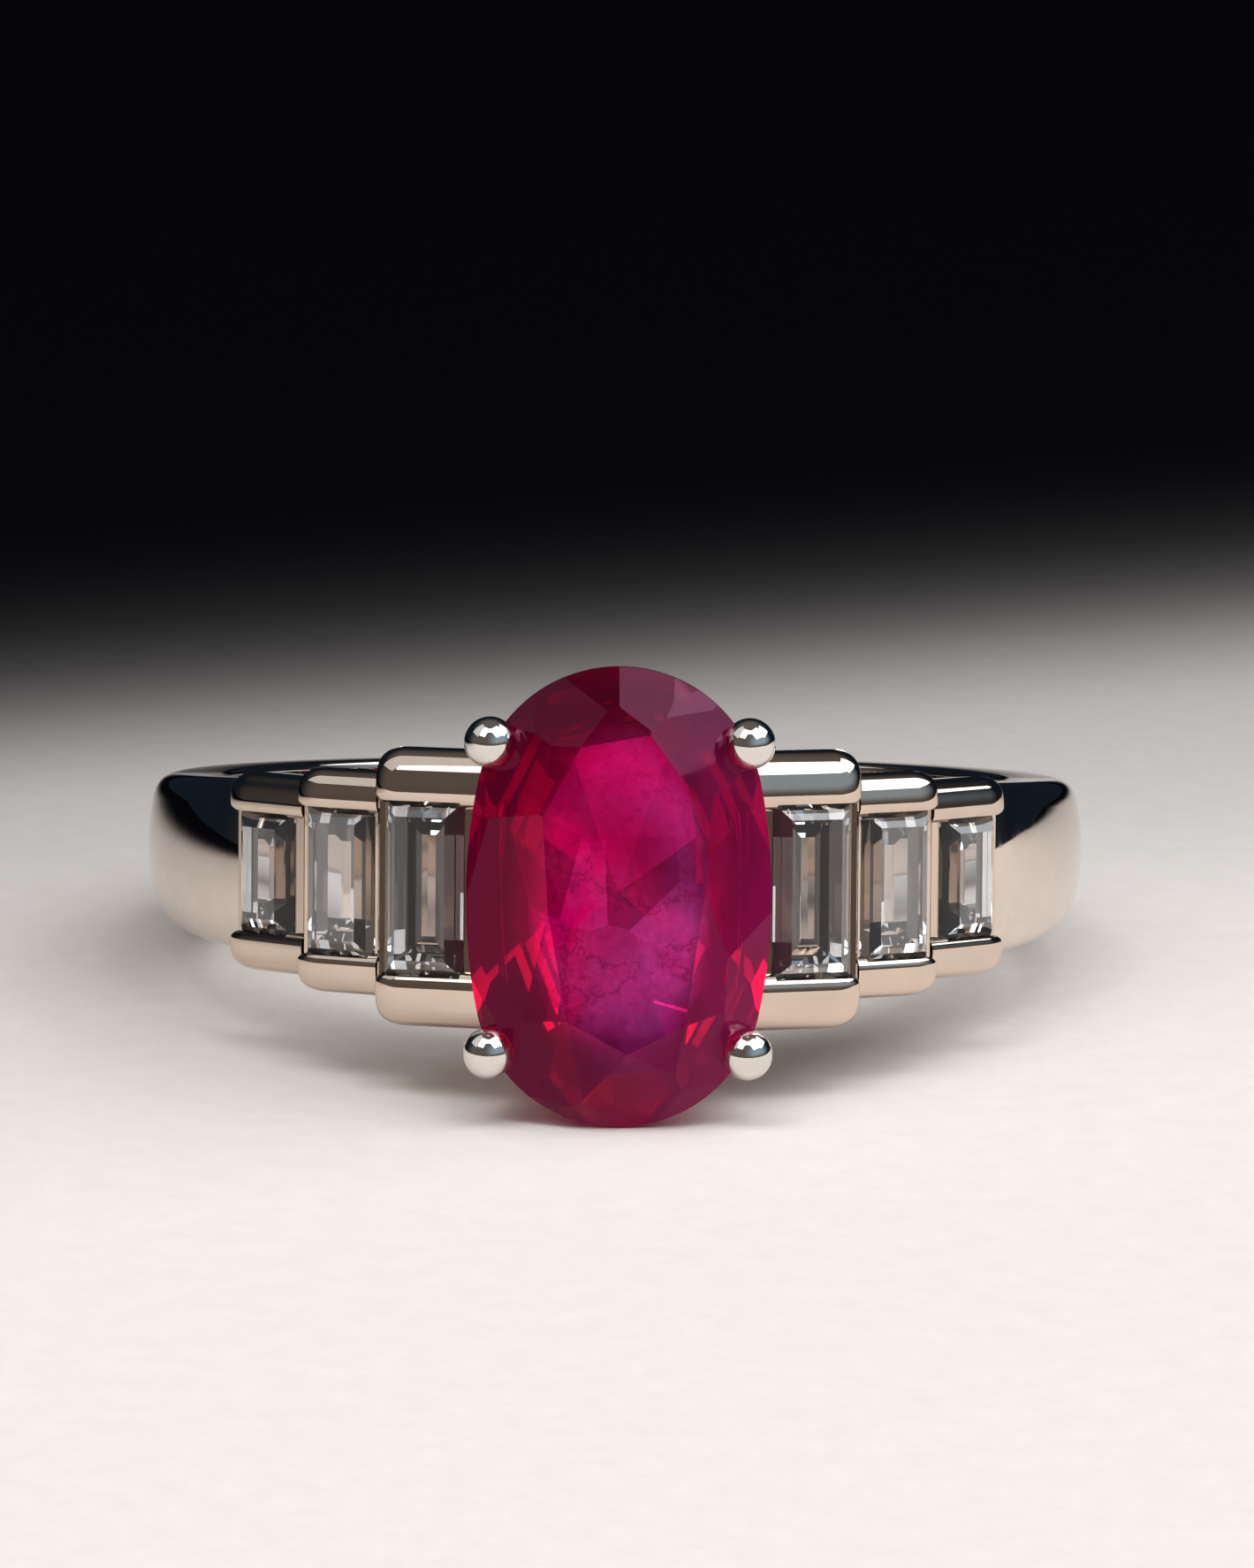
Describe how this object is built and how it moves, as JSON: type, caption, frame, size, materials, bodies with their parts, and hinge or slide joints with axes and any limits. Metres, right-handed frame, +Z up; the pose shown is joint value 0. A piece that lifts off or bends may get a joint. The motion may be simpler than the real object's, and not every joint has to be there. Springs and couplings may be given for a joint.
{
  "type": "cocktail ring",
  "caption": "Finger ring in polished white metal: a faceted oval red stone in round claws between stepped baguette shoulders, lying on its side.",
  "frame": {"origin": "centre of the part's box, at the level of the surface that the ring lies on", "axes": "the ring lies on its side as pictured: -Y out through the centre stone's table and a little up, +Z up, the finger hole's axis leans back from +Z by 9.2 degrees towards +Y, +X to the right seen from the front"},
  "size_m": [0.0204, 0.0236, 0.0094],
  "materials": {
    "band_metal": "mirror-polished white precious metal with fine wear",
    "setting_metal": "mirror-polished white precious metal",
    "collet_metal": "mirror-polished white precious metal",
    "clear_stone": "polished colourless step-cut gemstone",
    "red_stone": "polished crimson faceted gemstone with faint inclusions"
  },
  "bodies": {
    "root": {"shank": "band_metal", "lower_gallery_rail": "setting_metal", "upper_gallery_rail": "setting_metal", "claw_upper_left": "setting_metal", "claw_upper_right": "setting_metal", "claw_lower_left": "setting_metal", "claw_lower_right": "setting_metal", "left_inner_collet": "collet_metal", "left_middle_collet": "collet_metal", "left_outer_collet": "collet_metal", "right_inner_collet": "collet_metal", "right_middle_collet": "collet_metal", "right_outer_collet": "collet_metal", "left_inner_baguette": "clear_stone", "left_middle_baguette": "clear_stone", "left_outer_baguette": "clear_stone", "right_inner_baguette": "clear_stone", "right_middle_baguette": "clear_stone", "right_outer_baguette": "clear_stone", "centre_ruby": "red_stone"}
  },
  "joints": []
}
